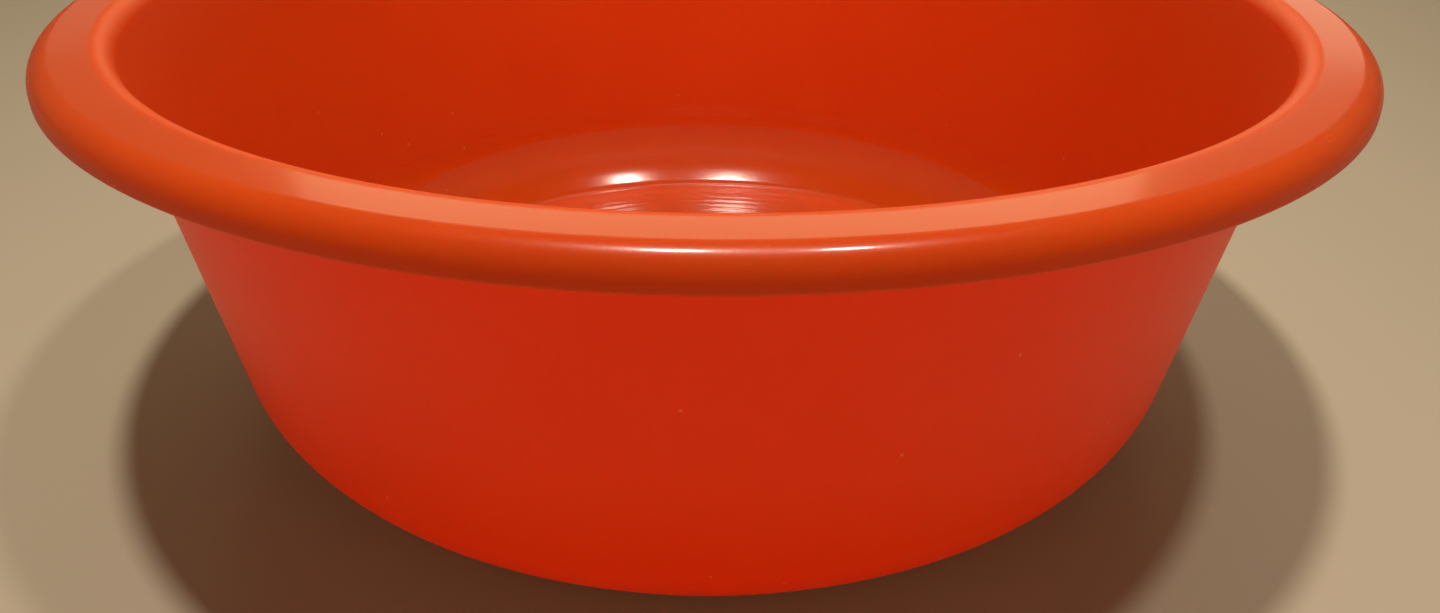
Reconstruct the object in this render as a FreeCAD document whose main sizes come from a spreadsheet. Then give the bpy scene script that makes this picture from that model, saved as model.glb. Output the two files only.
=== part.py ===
# Round washing up bowl: one moulding with a flat base, a sloping foot, a tapered wall and a
# turned-down rim. Millimetres, +Z up, origin at the centre of the face that the bowl stands on.
import FreeCAD, Part
import math
import os
import Sketcher

# Driving dimensions: name in the sheet, size, and what it measures.
DIMENSIONS = [
    ("rim_radius", 190.0, "axis to the outside of the rim"),
    ("rim_width", 19.5, "mouth edge to the outside of the rim, before rounding"),
    ("bowl_height", 131.0, "standing face to the top of the rim"),
    ("wall_thickness", 2.0, "base, wall and rim"),
    ("base_radius", 128.0, "axis to the edge of the flat base"),
    ("low_corner_radius", 15.0, "bend from the base to the sloping foot, outside"),
    ("foot_angle", 45.0, "degrees between the sloping foot and the base"),
    ("slope_length", 13.0, "straight part of the sloping foot"),
    ("high_corner_radius", 31.0, "bend from the sloping foot to the wall, outside"),
    ("lip_depth", 8.2, "top of the rim to the lower edge of its lip"),
    ("lip_thickness", 2.0, "turned-down lip"),
    ("mouth_round", 5.0, "inner edge of the rim"),
    ("shoulder_round", 6.0, "outer edge of the rim"),
    ("lip_edge_round", 0.8, "lower edges of the lip"),
    ("foot_width", 38.0, "flat ring that the bowl stands on"),
    ("panel_rise", 1.5, "base panel above the standing ring"),
    ("panel_slope", 4.0, "run of the step up to the base panel"),
    ("panel_round", 2.0, "edges of that step"),
    ("gate_radius", 3.0, "gate mark under the base"),
    ("gate_height", 0.6, "gate mark under the base"),
]
WHOLE_TURN = 360.0
# Numbers by which a sketch knows its own origin.
ORIGIN = (-1, 1)

os.makedirs("parts", exist_ok=True)
doc = FreeCAD.newDocument("washing_up_bowl")
sheet = doc.addObject("Spreadsheet::Sheet", "Dimensions")
for row, (alias, size, meaning) in enumerate(DIMENSIONS, 1):
    sheet.set(f"A{row}", meaning)
    sheet.set(f"B{row}", str(size))
    sheet.setAlias(f"B{row}", alias)
doc.recompute()


def amount(terms):
    """Number that a sum of sheet names comes to, such as "rim_radius - rim_width"."""
    total = 0.0
    sign = 1.0
    for word in terms.split():
        if word in ("+", "-"):
            sign = 1.0 if word == "+" else -1.0
        else:
            total += sign * sheet.get(word)
    return total


def formula(terms):
    """The same sum as an expression on the sheet."""
    return " ".join(word if word in ("+", "-") else f"Dimensions.{word}" for word in terms.split())


def point(across, up):
    """Point of a half section: distance from the axis and height."""
    return FreeCAD.Vector(across, up, 0)


def new_sketch(body, name):
    """Sketch on the upright plane through the axis, where x is the radius and y the height."""
    sketch = body.newObject("Sketcher::SketchObject", name)
    plane = next(item for item in body.Origin.OriginFeatures if item.Role == "XZ_Plane")
    sketch.AttachmentSupport = [(plane, "")]
    sketch.MapMode = "FlatFace"
    return sketch


def hold(sketch, kind, geometry, terms, unit=""):
    """Add a dimension that follows a sum of sheet names."""
    value = amount(terms)
    if kind == "Angle":
        value = math.radians(value)
    number = sketch.addConstraint(Sketcher.Constraint(kind, *geometry, value))
    sketch.setExpression(f"Constraints[{number}]", formula(terms) + unit)


def hold_corner(sketch, geometry, across, up):
    """Fix the start of a line; an empty sum puts it on the axis or on the standing face."""
    if across:
        hold(sketch, "DistanceX", (*ORIGIN, geometry, 1), across)
    else:
        sketch.addConstraint(Sketcher.Constraint("Vertical", *ORIGIN, geometry, 1))
    if up:
        hold(sketch, "DistanceY", (*ORIGIN, geometry, 1), up)
    else:
        sketch.addConstraint(Sketcher.Constraint("Horizontal", *ORIGIN, geometry, 1))


def straight_section(body, name, corners):
    """Closed half section of straight lines through corners given as sums of sheet names."""
    sketch = new_sketch(body, name)
    places = [point(amount(across), amount(up)) for across, up in corners]
    lines = []
    for start, end in zip(places, places[1:] + places[:1]):
        lines.append(sketch.addGeometry(Part.LineSegment(start, end)))
    for line, following in zip(lines, lines[1:] + lines[:1]):
        sketch.addConstraint(Sketcher.Constraint("Coincident", line, 2, following, 1))
    for line, (across, up) in zip(lines, corners):
        hold_corner(sketch, line, across, up)
    return sketch


def wall_lean(centre, radius, mouth):
    """Angle from upright of a wall that leaves the corner smoothly and ends at the mouth."""
    reach = mouth - centre
    return math.atan2(reach.x, reach.y) - math.asin(radius / reach.Length)


def cup_section(body, name, floor, low, high, mouth):
    """Half section of a cup: flat floor, sloping foot between two bends, leaning wall and level top."""
    sketch = new_sketch(body, name)
    turn = math.radians(amount("foot_angle"))
    quarter = math.pi / 2
    outward = point(math.sin(turn), -math.cos(turn))
    upward = point(math.cos(turn), math.sin(turn))
    floor_start = point(0, amount(floor))
    floor_end = point(amount("base_radius"), amount(floor))
    low_centre = floor_end + point(0, amount(low))
    slope_start = low_centre + outward * amount(low)
    slope_end = slope_start + upward * amount("slope_length")
    high_centre = slope_end - outward * amount(high)
    top_outer = point(amount(mouth), amount("bowl_height"))
    top_axis = point(0, amount("bowl_height"))
    lean = wall_lean(high_centre, amount(high), top_outer)
    wall_start = high_centre + point(math.cos(lean), -math.sin(lean)) * amount(high)
    facing = FreeCAD.Vector(0, 0, 1)
    low_circle = Part.Circle(low_centre, facing, amount(low))
    high_circle = Part.Circle(high_centre, facing, amount(high))
    floor_line = sketch.addGeometry(Part.LineSegment(floor_start, floor_end))
    low_arc = sketch.addGeometry(Part.ArcOfCircle(low_circle, -quarter, turn - quarter))
    slope_line = sketch.addGeometry(Part.LineSegment(slope_start, slope_end))
    high_arc = sketch.addGeometry(Part.ArcOfCircle(high_circle, turn - quarter, -lean))
    wall_line = sketch.addGeometry(Part.LineSegment(wall_start, top_outer))
    top_line = sketch.addGeometry(Part.LineSegment(top_outer, top_axis))
    axis_line = sketch.addGeometry(Part.LineSegment(top_axis, floor_start))
    smooth = (floor_line, low_arc, slope_line, high_arc, wall_line)
    for before, after in zip(smooth, smooth[1:]):
        sketch.addConstraint(Sketcher.Constraint("Tangent", before, 2, after, 1))
    for before, after in ((wall_line, top_line), (top_line, axis_line), (axis_line, floor_line)):
        sketch.addConstraint(Sketcher.Constraint("Coincident", before, 2, after, 1))
    sketch.addConstraint(Sketcher.Constraint("Horizontal", floor_line))
    hold_corner(sketch, floor_line, "", floor)
    hold_corner(sketch, axis_line, "", "bowl_height")
    hold_corner(sketch, top_line, mouth, "bowl_height")
    hold(sketch, "DistanceX", (floor_line, 1, floor_line, 2), "base_radius")
    hold(sketch, "Radius", (low_arc,), low)
    hold(sketch, "Radius", (high_arc,), high)
    hold(sketch, "Distance", (slope_line,), "slope_length")
    hold(sketch, "Angle", (low_arc,), "foot_angle", " * 1 deg")
    return sketch


def revolve(body, kind, sketch, name):
    """Turn a half section once round the axis, adding to the body or cutting it."""
    feature = body.newObject(kind, name)
    feature.Profile = sketch
    feature.ReferenceAxis = (sketch, ["V_Axis"])
    feature.Angle = WHOLE_TURN
    sketch.Visibility = False
    doc.recompute()
    return feature


def ring_edge(feature, across, up):
    """Name of the circular edge of a feature that lies nearest to a corner of the section."""
    wanted = point(amount(across), amount(up))
    found = {}
    for number, edge in enumerate(feature.Shape.Edges, 1):
        if isinstance(edge.Curve, Part.Circle):
            here = point(edge.Curve.Radius, edge.Curve.Center.z)
            found[f"Edge{number}"] = (here - wanted).Length
    return min(found, key=found.get)


def round_edges(body, name, corners, radius):
    """Round the circular edges at these corners of the section."""
    base = body.Tip
    feature = body.newObject("PartDesign::Fillet", name)
    feature.Base = (base, [ring_edge(base, across, up) for across, up in corners])
    feature.setExpression("Radius", formula(radius))
    doc.recompute()
    return feature


# The cup: outside form, rim and lip, then the hollow.
mouth = "rim_radius - rim_width"
lip_inside = "rim_radius - lip_thickness"
rim_underside = "bowl_height - wall_thickness"
lip_edge = "bowl_height - lip_depth"

bowl = doc.addObject("PartDesign::Body", "bowl")
bowl.Label = "bowl"
bowl.Placement = FreeCAD.Placement()
outside = cup_section(
    bowl, "outside_section", "", "low_corner_radius", "high_corner_radius", f"{mouth} + wall_thickness"
)
revolve(bowl, "PartDesign::Revolution", outside, "outside_form")
rim_corners = [
    (mouth, "bowl_height"),
    ("rim_radius", "bowl_height"),
    ("rim_radius", lip_edge),
    (lip_inside, lip_edge),
    (lip_inside, rim_underside),
    (mouth, rim_underside),
]
rim = straight_section(bowl, "rim_section", rim_corners)
solid_cup = revolve(bowl, "PartDesign::Revolution", rim, "rim_and_lip")
inside = cup_section(
    bowl,
    "hollow_section",
    "wall_thickness",
    "low_corner_radius - wall_thickness",
    "high_corner_radius - wall_thickness",
    mouth,
)
hollow_cup = revolve(bowl, "PartDesign::Groove", inside, "hollow")
if hollow_cup.Shape.Volume >= solid_cup.Shape.Volume:
    raise RuntimeError("the hollow cut nothing")

# The base panel stands above the standing ring, at the same thickness, with the gate mark under it.
panel_edge = "base_radius - foot_width"
panel_top_edge = f"{panel_edge} - panel_slope"
panel_floor = "wall_thickness + panel_rise"
panel_corners = [
    ("", "wall_thickness"),
    (panel_edge, "wall_thickness"),
    (panel_top_edge, panel_floor),
    ("", panel_floor),
]
recess_corners = [("", ""), (panel_edge, ""), (panel_top_edge, "panel_rise"), ("", "panel_rise")]
gate_bottom = "panel_rise - gate_height"
gate_corners = [
    ("", gate_bottom),
    ("gate_radius", gate_bottom),
    ("gate_radius", "panel_rise"),
    ("", "panel_rise"),
]
panel = straight_section(bowl, "panel_section", panel_corners)
raised_cup = revolve(bowl, "PartDesign::Revolution", panel, "raised_panel")
recess = straight_section(bowl, "recess_section", recess_corners)
standing_cup = revolve(bowl, "PartDesign::Groove", recess, "base_recess")
if standing_cup.Shape.Volume >= raised_cup.Shape.Volume:
    raise RuntimeError("the base recess cut nothing")
gate = straight_section(bowl, "gate_section", gate_corners)
revolve(bowl, "PartDesign::Revolution", gate, "gate_mark")

# Rounded edges, inner ones first, so that the rim keeps its thickness round each bend.
round_edges(bowl, "rim_root", [(f"{mouth} + wall_thickness", rim_underside)], "mouth_round - wall_thickness")
round_edges(bowl, "lip_root", [(lip_inside, rim_underside)], "shoulder_round - lip_thickness")
round_edges(bowl, "mouth_edge", [(mouth, "bowl_height")], "mouth_round")
round_edges(bowl, "shoulder", [("rim_radius", "bowl_height")], "shoulder_round")
round_edges(bowl, "lip_edges", [("rim_radius", lip_edge), (lip_inside, lip_edge)], "lip_edge_round")
round_edges(
    bowl,
    "panel_edges",
    [
        (panel_edge, "wall_thickness"),
        (panel_top_edge, panel_floor),
        (panel_edge, ""),
        (panel_top_edge, "panel_rise"),
    ],
    "panel_round",
)

doc.recompute()
for item in doc.Objects:
    if "Invalid" in item.State or "Error" in item.State:
        raise RuntimeError(f"{item.Label} is {item.State}")
if bowl.Shape.isNull() or not bowl.Shape.isValid():
    raise RuntimeError(f"{bowl.Label} has no valid shape")
bowl.Shape.exportStep(f"parts/{bowl.Label}.step")
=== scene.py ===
"""Washing up bowl: one turned plastic moulding on a pale floor, seen from the photo's angle."""
import math

import bpy
from mathutils import Matrix, Vector
from mathutils.kdtree import KDTree


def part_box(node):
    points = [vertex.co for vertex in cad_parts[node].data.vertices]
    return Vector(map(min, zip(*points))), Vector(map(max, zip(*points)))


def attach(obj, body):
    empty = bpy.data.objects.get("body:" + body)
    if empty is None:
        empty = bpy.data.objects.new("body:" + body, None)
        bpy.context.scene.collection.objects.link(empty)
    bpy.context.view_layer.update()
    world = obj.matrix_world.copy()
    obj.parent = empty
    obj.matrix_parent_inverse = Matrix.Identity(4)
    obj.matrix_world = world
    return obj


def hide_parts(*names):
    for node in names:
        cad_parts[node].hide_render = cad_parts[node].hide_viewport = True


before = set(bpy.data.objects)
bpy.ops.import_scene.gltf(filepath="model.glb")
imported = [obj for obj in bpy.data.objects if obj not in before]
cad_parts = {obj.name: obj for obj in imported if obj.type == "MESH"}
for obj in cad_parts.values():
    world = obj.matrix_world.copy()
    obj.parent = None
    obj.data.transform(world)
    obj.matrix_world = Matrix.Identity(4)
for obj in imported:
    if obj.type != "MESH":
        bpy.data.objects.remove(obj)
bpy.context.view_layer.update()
BOWL_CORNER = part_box("bowl")[1]

# Rim and wall, in metres
RIM_RADIUS = BOWL_CORNER.x
RIM_WIDTH = 0.0195
MOUTH_RADIUS = RIM_RADIUS - RIM_WIDTH
HEIGHT = BOWL_CORNER.z
WALL = 0.002
LIP_DEPTH = 0.0082
LIP_EDGE_ROUND = 0.0008
MOUTH_ROUND = 0.005
SHOULDER_ROUND = 0.006

# Base and sloping foot
BASE_RADIUS = 0.128
LOW_CORNER = 0.015
FOOT_ANGLE = math.radians(45)
SLOPE_LENGTH = 0.013
HIGH_CORNER = 0.031

# Standing ring, raised panel inside it and gate mark under the middle
FOOT_WIDTH = 0.038
PANEL_EDGE = BASE_RADIUS - FOOT_WIDTH
PANEL_SLOPE = 0.004
PANEL_RADIUS = PANEL_EDGE - PANEL_SLOPE
PANEL_RISE = 0.0015
PANEL_ROUND = 0.002
GATE_RADIUS = 0.003
GATE_HEIGHT = 0.0006
GATE_ROUND = 0.0002

# Bow of the inner slope, and the gently rising edge of the floor
SLOPE_BOW = math.radians(6)
SLOPE_ROUND = 0.060
FLOOR_CORNER = 0.009
DISH_RADIUS = 0.116
DISH_ANGLE = math.radians(6)
DISH_ROUND = 0.195

# Turning marks on the floor
MARK_PITCH = 0.0038
MARK_DEPTH = 0.000035
MARK_EDGE = 0.130
MARK_DRIFT = 0.011
MARK_SWAY = 0.4

# Fineness of the mesh
TURN_STEPS = 208
LARGEST_TURN = math.radians(5)
SHORTEST_STEP = 0.0002
LONGEST_STEP = 0.0012
FEWEST_STEPS = 3
MARK_STEP = 0.0005
RUN_STEP = 0.020
MERGE_DISTANCE = 0.00001

# Heights over which each polished part of the plastic comes in
RIM_HEIGHTS = (HEIGHT - SHOULDER_ROUND, HEIGHT - WALL / 2)
FOOT_HEIGHTS = (0.042, 0.026)
UPPER_FOOT_HEIGHTS = (0.010, 0.016)
FLOOR_HEIGHTS = (0.0055, 0.0038)

# Roughness of the satin plastic, what polish takes from it and the clear shine over it
SATIN = 0.44
RIM_POLISH = 0.15
FOOT_POLISH = 0.30
FLOOR_POLISH = 0.10
RIM_SHINE = 0.27
FOOT_SHINE = 0.05
UPPER_FOOT_SHINE = 0.95
FLOOR_SHINE = 1.0

# Mottle, grain and specks: how many to a metre, and how strong
MOTTLE_SCALE = 28.0
MOTTLE_DETAIL = 4.0
GRAIN_SCALE = 1600.0
GRAIN_DETAIL = 1.0
GRAIN_STRENGTH = 0.06
GRAIN_HEIGHT = 0.0002
SPECK_SCALE = 60.0
SPECK_EDGE = (0.034, 0.022)
SPECK_PALENESS = 0.4
SPECK_ROUGHNESS = 0.2

# Colours of the plastic, its specks and the floor
DEEP_ORANGE = (0.70, 0.060, 0.003, 1)
LIGHT_ORANGE = (0.76, 0.074, 0.004, 1)
PALE_SPECK = (0.85, 0.45, 0.30, 1)
PALE_FLOOR = (0.47, 0.41, 0.31, 1)

# Floor
FLOOR_SIZE = 12
FLOOR_GAP = 0.0002
FLOOR_ROUGHNESS = 0.6

# Widths, depths and colours of the lights
LAMP_SIZE = (0.09, 0.09)
FAR_SIZE = (1.72, 0.60)
SIDE_SIZE = (0.80, 0.40)
NEAR_SIZE = (1.80, 0.90)
LAMP_LIGHT = (1.0, 0.90, 0.76)
FAR_LIGHT = (1.0, 0.75, 0.43)
SIDE_LIGHT = (1.0, 0.75, 0.50)
NEAR_LIGHT = (1.0, 0.71, 0.38)
ROOM_LIGHT = (1.0, 0.74, 0.52, 1)
ROOM_STRENGTH = 0.10

# Camera of the photo
PHOTO_WIDTH = 1440
FOCAL_PIXELS = 1096
SENSOR_WIDTH = 36.0
CAMERA_PLACE = Vector((0, -1.8478, 1.1209)) * RIM_RADIUS
CAMERA_PITCH = 0.5177
CAMERA_YAW = 0.013
CAMERA_ROLL = -0.0149
NEAREST_SEEN = 0.01


class Field:
    """A shader value whose Python operators add Math nodes."""

    def __init__(self, finish, socket):
        self.finish = finish
        self.socket = socket

    def maths(self, operation, *values):
        return self.finish.node("ShaderNodeMath", {"operation": operation}, dict(enumerate(values)), 0)

    def __add__(self, other):
        return self.maths("ADD", self, other)

    def __sub__(self, other):
        return self.maths("SUBTRACT", self, other)

    def __rsub__(self, other):
        return self.maths("SUBTRACT", other, self)

    def __mul__(self, other):
        return self.maths("MULTIPLY", self, other)

    __radd__ = __add__
    __rmul__ = __mul__


class Finish:
    """A node material, built from fields."""

    # Places of a Mix node's sockets when it mixes colours
    MIX_FACTOR, MIX_FIRST, MIX_SECOND, MIX_RESULT = 0, 6, 7, 2

    def __init__(self, name):
        self.material = bpy.data.materials.new(name)
        self.material.use_nodes = True
        self.tree = self.material.node_tree
        self.surface = self.tree.nodes["Principled BSDF"]

    def feed(self, socket, value):
        if isinstance(value, Field):
            self.tree.links.new(value.socket, socket)
        else:
            socket.default_value = value

    def node(self, kind, settings, sockets, output):
        made = self.tree.nodes.new(kind)
        for name, value in settings.items():
            setattr(made, name, value)
        for name, value in sockets.items():
            self.feed(made.inputs[name], value)
        return Field(self, made.outputs[output])

    def noise(self, vector, scale, detail):
        sockets = {"Vector": vector, "Scale": scale, "Detail": detail}
        return self.node("ShaderNodeTexNoise", {}, sockets, 0)

    def step(self, value, low, high):
        """Smooth change from 0 to 1 while the value goes from low to high."""
        sockets = {"Value": value, "From Min": low, "From Max": high}
        return self.node("ShaderNodeMapRange", {"interpolation_type": "SMOOTHSTEP"}, sockets, 0)

    def blend(self, factor, first, second):
        """Colour that goes from the first to the second with the factor."""
        sockets = {self.MIX_FACTOR: factor, self.MIX_FIRST: first, self.MIX_SECOND: second}
        return self.node("ShaderNodeMix", {"data_type": "RGBA"}, sockets, self.MIX_RESULT)

    def paint(self, values):
        for name, value in values.items():
            self.feed(self.surface.inputs[name], value)


def along(corner, towards, length):
    return corner + (towards - corner).normalized() * length


def rounded(corners):
    """Points of a line through (across, up, rounding) corners, each turned with its own arc."""
    places = [Vector(corner[:2]) for corner in corners]
    roundings = [corner[2] for corner in corners]
    points = [places[0]]
    for before, corner, after, radius in zip(places, places[1:], places[2:], roundings[1:]):
        turn = (corner - before).angle_signed(after - corner)
        reach = radius * math.tan(abs(turn) / 2)
        start = along(corner, before, reach)
        middle = (along(corner, before, 1) + along(corner, after, 1)) / 2
        centre = along(corner, middle, radius / math.cos(turn / 2))
        length = radius * abs(turn)
        steps = min(abs(turn) / LARGEST_TURN, length / SHORTEST_STEP)
        steps = math.ceil(max(steps, length / LONGEST_STEP, FEWEST_STEPS))
        for step in range(steps + 1):
            points.append(centre + Matrix.Rotation(-turn * step / steps, 2) @ (start - centre))
    points.append(places[-1])
    return points


def with_stations(points, step):
    """The same line with its long runs cut into lengths of about one step."""
    line = [points[0]]
    for start, end in zip(points, points[1:]):
        parts = max(1, round((end - start).length / step))
        line += [start.lerp(end, part / parts) for part in range(1, parts + 1)]
    return line


def heading(angle):
    return Vector((math.cos(angle), math.sin(angle)))


def meeting(start, angle, other, other_angle):
    """Point where a line through one point meets a line through another."""
    way, other_way = heading(angle), heading(other_angle)
    share = (other - start).cross(other_way) / way.cross(other_way)
    return start + way * share


def cup_lines(floor, low, high, mouth):
    """Middle of a cup's sloping foot and the angle of its wall, from its roundings."""
    outward = heading(FOOT_ANGLE - math.pi / 2)
    slope_start = Vector((BASE_RADIUS, floor + low)) + outward * low
    slope_end = slope_start + heading(FOOT_ANGLE) * SLOPE_LENGTH
    reach = mouth - slope_end + outward * high
    wall_angle = math.atan2(reach.y, reach.x) + math.asin(high / reach.length)
    return slope_start.lerp(slope_end, 0.5), wall_angle


def outside_of_bowl():
    """Outer half section, from the middle of the underside to the level top of the rim."""
    mouth = Vector((MOUTH_RADIUS + WALL, HEIGHT))
    underside = HEIGHT - WALL
    lip_inside = RIM_RADIUS - WALL
    lip_low = HEIGHT - LIP_DEPTH
    gate_low = PANEL_RISE - GATE_HEIGHT
    foot, wall_angle = cup_lines(0, LOW_CORNER, HIGH_CORNER, mouth)
    low = meeting(foot, FOOT_ANGLE, Vector((0, 0)), 0)
    high = meeting(foot, FOOT_ANGLE, mouth, wall_angle)
    top = meeting(mouth, wall_angle, Vector((0, underside)), 0)
    line = rounded([
        (0, gate_low, 0),
        (GATE_RADIUS, gate_low, GATE_ROUND),
        (GATE_RADIUS, PANEL_RISE, GATE_ROUND),
        (PANEL_RADIUS, PANEL_RISE, PANEL_ROUND),
        (PANEL_EDGE, 0, PANEL_ROUND),
        (*low, LOW_CORNER),
        (*high, HIGH_CORNER),
        (*top, MOUTH_ROUND - WALL),
        (lip_inside, underside, SHOULDER_ROUND - WALL),
        (lip_inside, lip_low, LIP_EDGE_ROUND),
        (RIM_RADIUS, lip_low, LIP_EDGE_ROUND),
        (RIM_RADIUS, HEIGHT, SHOULDER_ROUND),
        (MOUTH_RADIUS + MOUTH_ROUND, HEIGHT, 0),
    ])
    return with_stations(line, RUN_STEP)


def turning_mark(place):
    """Sinks a point of the floor into the shallow scallops that the turned mould leaves."""
    turns = place.x / MARK_PITCH + MARK_SWAY * math.sin(place.x / MARK_DRIFT)
    across = 2 * (turns % 1) - 1
    fade = min(1, (MARK_EDGE - place.x) / MARK_PITCH)
    return place - Vector((0, MARK_DEPTH * (1 - across ** 2) * fade))


def inside_of_bowl():
    """Inner half section, from just past the level top of the rim to the middle of the floor."""
    mouth = Vector((MOUTH_RADIUS, HEIGHT))
    dish = Vector((DISH_RADIUS, WALL))
    foot, wall_angle = cup_lines(WALL, LOW_CORNER - WALL, HIGH_CORNER - WALL, mouth)
    sink = SLOPE_ROUND * (1 / math.cos(SLOPE_BOW / 2) - 1)
    bow = foot + heading(FOOT_ANGLE - math.pi / 2) * sink
    high = meeting(bow, FOOT_ANGLE + SLOPE_BOW / 2, mouth, wall_angle)
    low = meeting(bow, FOOT_ANGLE - SLOPE_BOW / 2, dish, DISH_ANGLE)
    mark_edge = meeting(dish, DISH_ANGLE, Vector((MARK_EDGE, 0)), math.pi / 2)
    wall = rounded([
        (MOUTH_RADIUS + MOUTH_ROUND, HEIGHT, 0),
        (*mouth, MOUTH_ROUND),
        (*high, HIGH_CORNER - WALL),
        (*bow, SLOPE_ROUND),
        (*low, FLOOR_CORNER),
        (*mark_edge, 0),
    ])
    floor = rounded([
        (*mark_edge, 0),
        (*dish, DISH_ROUND),
        (PANEL_EDGE, WALL, PANEL_ROUND),
        (PANEL_RADIUS, WALL + PANEL_RISE, PANEL_ROUND),
        (0, WALL + PANEL_RISE, 0),
    ])
    floor = [turning_mark(place) for place in with_stations(floor, MARK_STEP)]
    return with_stations(wall, RUN_STEP)[1:] + floor[1:]


def turned_piece(name, line):
    """Draws a half section point by point and spins it round the upright axis."""
    bpy.ops.object.select_all(action="DESELECT")
    bpy.ops.mesh.primitive_plane_add(size=WALL)
    piece = bpy.context.object
    piece.name = name
    bpy.ops.object.mode_set(mode="EDIT")
    bpy.ops.mesh.select_all(action="SELECT")
    bpy.ops.mesh.merge(type="CENTER")
    bpy.ops.transform.translate(value=(line[0].x, 0, line[0].y))
    for start, end in zip(line, line[1:]):
        move = (end.x - start.x, 0, end.y - start.y)
        bpy.ops.mesh.extrude_region_move(TRANSFORM_OT_translate={"value": move})
    bpy.ops.mesh.select_all(action="SELECT")
    bpy.ops.mesh.spin(steps=TURN_STEPS, angle=2 * math.pi, center=(0, 0, 0), axis=(0, 0, 1))
    bpy.ops.mesh.select_all(action="SELECT")
    bpy.ops.mesh.remove_doubles(threshold=MERGE_DISTANCE)
    bpy.ops.mesh.normals_make_consistent(inside=False)
    bpy.ops.object.mode_set(mode="OBJECT")
    bpy.ops.object.shade_smooth()
    return piece


def mark_inside(piece, outside, inside):
    """Stores on each point whether it lies on the outside (0) or the inside (1) of the bowl."""
    stations = [*outside, *inside]
    tree = KDTree(len(stations))
    for index, place in enumerate(stations):
        tree.insert((place.x, place.y, 0), index)
    tree.balance()
    mark = piece.data.attributes.new("inside", "FLOAT", "POINT")
    for vertex, value in zip(piece.data.vertices, mark.data):
        across = math.hypot(vertex.co.x, vertex.co.y)
        index = tree.find((across, vertex.co.z, 0))[1]
        value.value = float(index >= len(outside))


def bowl_plastic():
    """Orange-red polypropylene: a satin wall, a glossier rim top, inner foot and floor, pale specks."""
    finish = Finish("bowl_plastic")
    place = finish.node("ShaderNodeTexCoord", {}, {}, "Object")
    up = finish.node("ShaderNodeSeparateXYZ", {}, {"Vector": place}, "Z")
    inside = finish.node("ShaderNodeAttribute", {"attribute_name": "inside"}, {}, "Fac")
    rim = (1 - inside) * finish.step(up, *RIM_HEIGHTS)
    floor = inside * finish.step(up, *FLOOR_HEIGHTS)
    foot = inside * finish.step(up, *FOOT_HEIGHTS) - floor
    upper_foot = foot * finish.step(up, *UPPER_FOOT_HEIGHTS)
    mottle = finish.noise(place, MOTTLE_SCALE, MOTTLE_DETAIL)
    grain = finish.noise(place, GRAIN_SCALE, GRAIN_DETAIL)
    cell_sockets = {"Vector": place, "Scale": SPECK_SCALE}
    cells = finish.node("ShaderNodeTexVoronoi", {}, cell_sockets, "Distance")
    speck = finish.step(cells, *SPECK_EDGE)
    colour = finish.blend(mottle, DEEP_ORANGE, LIGHT_ORANGE)
    polish = RIM_POLISH * rim + FOOT_POLISH * foot + FLOOR_POLISH * floor
    foot_shine = FOOT_SHINE * foot + UPPER_FOOT_SHINE * upper_foot
    bump_sockets = {"Height": grain, "Strength": GRAIN_STRENGTH, "Distance": GRAIN_HEIGHT}
    finish.paint({
        "Base Color": finish.blend(SPECK_PALENESS * speck, colour, PALE_SPECK),
        "Roughness": SATIN - polish + SPECK_ROUGHNESS * speck,
        "Coat Weight": RIM_SHINE * rim + foot_shine + FLOOR_SHINE * floor,
        "Normal": finish.node("ShaderNodeBump", {}, bump_sockets, "Normal"),
        "Specular IOR Level": 0.22,
        "Coat Roughness": 0.10,
        "Coat IOR": 1.9,
        "Subsurface Weight": 1.0,
        "Subsurface Radius": (1.0, 0.20, 0.04),
        "Subsurface Scale": 0.016,
    })
    return finish.material


def floor_paint():
    """Plain pale floor."""
    finish = Finish("pale_floor")
    finish.paint({"Base Color": PALE_FLOOR, "Roughness": FLOOR_ROUGHNESS})
    return finish.material


def add_floor():
    bpy.ops.object.select_all(action="DESELECT")
    bpy.ops.mesh.primitive_plane_add(size=FLOOR_SIZE, location=(0, 0, -FLOOR_GAP))
    floor = bpy.context.object
    floor.name = "floor"
    floor.data.materials.append(floor_paint())


def add_light(name, place, size, power, colour, shows_in_gloss=True):
    """Area light that looks at the middle of the bowl, round if it is as wide as it is deep."""
    light = bpy.data.lights.new(name, "AREA")
    light.size, light.size_y = size
    light.shape = "ELLIPSE" if light.size == light.size_y else "RECTANGLE"
    light.energy = power
    light.color = colour
    lamp = bpy.data.objects.new(name, light)
    backward = Vector(place) - Vector((0, 0, HEIGHT / 2))
    lamp.location = place
    lamp.rotation_euler = backward.to_track_quat("Z", "Y").to_euler()
    lamp.visible_camera = False
    lamp.visible_glossy = shows_in_gloss
    bpy.context.collection.objects.link(lamp)


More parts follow.
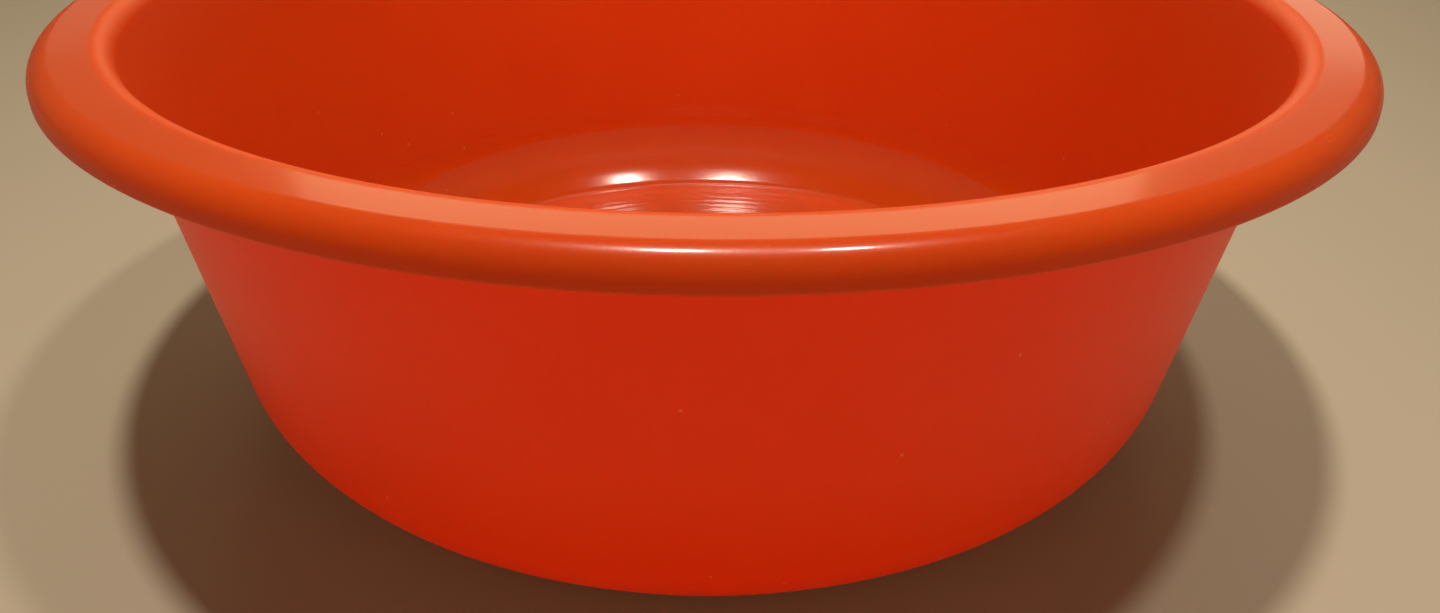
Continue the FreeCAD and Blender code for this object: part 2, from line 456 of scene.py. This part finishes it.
def add_lights():
    """Two ceiling lamps, which show as glints, and soft panels on the far, right, left and near side."""
    add_light("lamp_left", (-0.070, -0.13, 1.25), LAMP_SIZE, 9.0, LAMP_LIGHT)
    add_light("lamp_right", (0.295, -0.13, 1.25), LAMP_SIZE, 4.5, LAMP_LIGHT)
    add_light("far_panel", (0.02, 1.7, 0.90), FAR_SIZE, 5.7, FAR_LIGHT)
    add_light("right_panel", (0.85, 1.7, 0.42), SIDE_SIZE, 1.3, SIDE_LIGHT)
    add_light("left_panel", (-0.85, 1.7, 0.42), SIDE_SIZE, 0.4, SIDE_LIGHT)
    add_light("near_panel", (0.0, -2.4, 0.95), NEAR_SIZE, 10.0, NEAR_LIGHT, shows_in_gloss=False)


def add_camera():
    """Camera with the place, tilt and focal length that fit the photo."""
    data = bpy.data.cameras.new("camera")
    data.sensor_width = SENSOR_WIDTH
    data.lens = SENSOR_WIDTH * FOCAL_PIXELS / PHOTO_WIDTH
    data.clip_start = NEAREST_SEEN
    camera = bpy.data.objects.new("camera", data)
    turn = Matrix.Rotation(-CAMERA_YAW, 4, "Z")
    tilt = Matrix.Rotation(math.pi / 2 - CAMERA_PITCH, 4, "X")
    roll = Matrix.Rotation(-CAMERA_ROLL, 4, "Z")
    camera.matrix_world = Matrix.Translation(CAMERA_PLACE) @ turn @ tilt @ roll
    bpy.context.collection.objects.link(camera)
    bpy.context.scene.camera = camera


def set_world():
    world = bpy.data.worlds.new("studio")
    world.use_nodes = True
    background = world.node_tree.nodes["Background"]
    background.inputs["Color"].default_value = ROOM_LIGHT
    background.inputs["Strength"].default_value = ROOM_STRENGTH
    bpy.context.scene.world = world


outside_line = outside_of_bowl()
inside_line = inside_of_bowl()
bowl = turned_piece("bowl_moulding", outside_line + inside_line)
mark_inside(bowl, outside_line, inside_line)
bowl.data.materials.append(bowl_plastic())
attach(bowl, "root")
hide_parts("bowl")

add_floor()
add_lights()
add_camera()
set_world()
bpy.context.scene.view_settings.view_transform = "Standard"
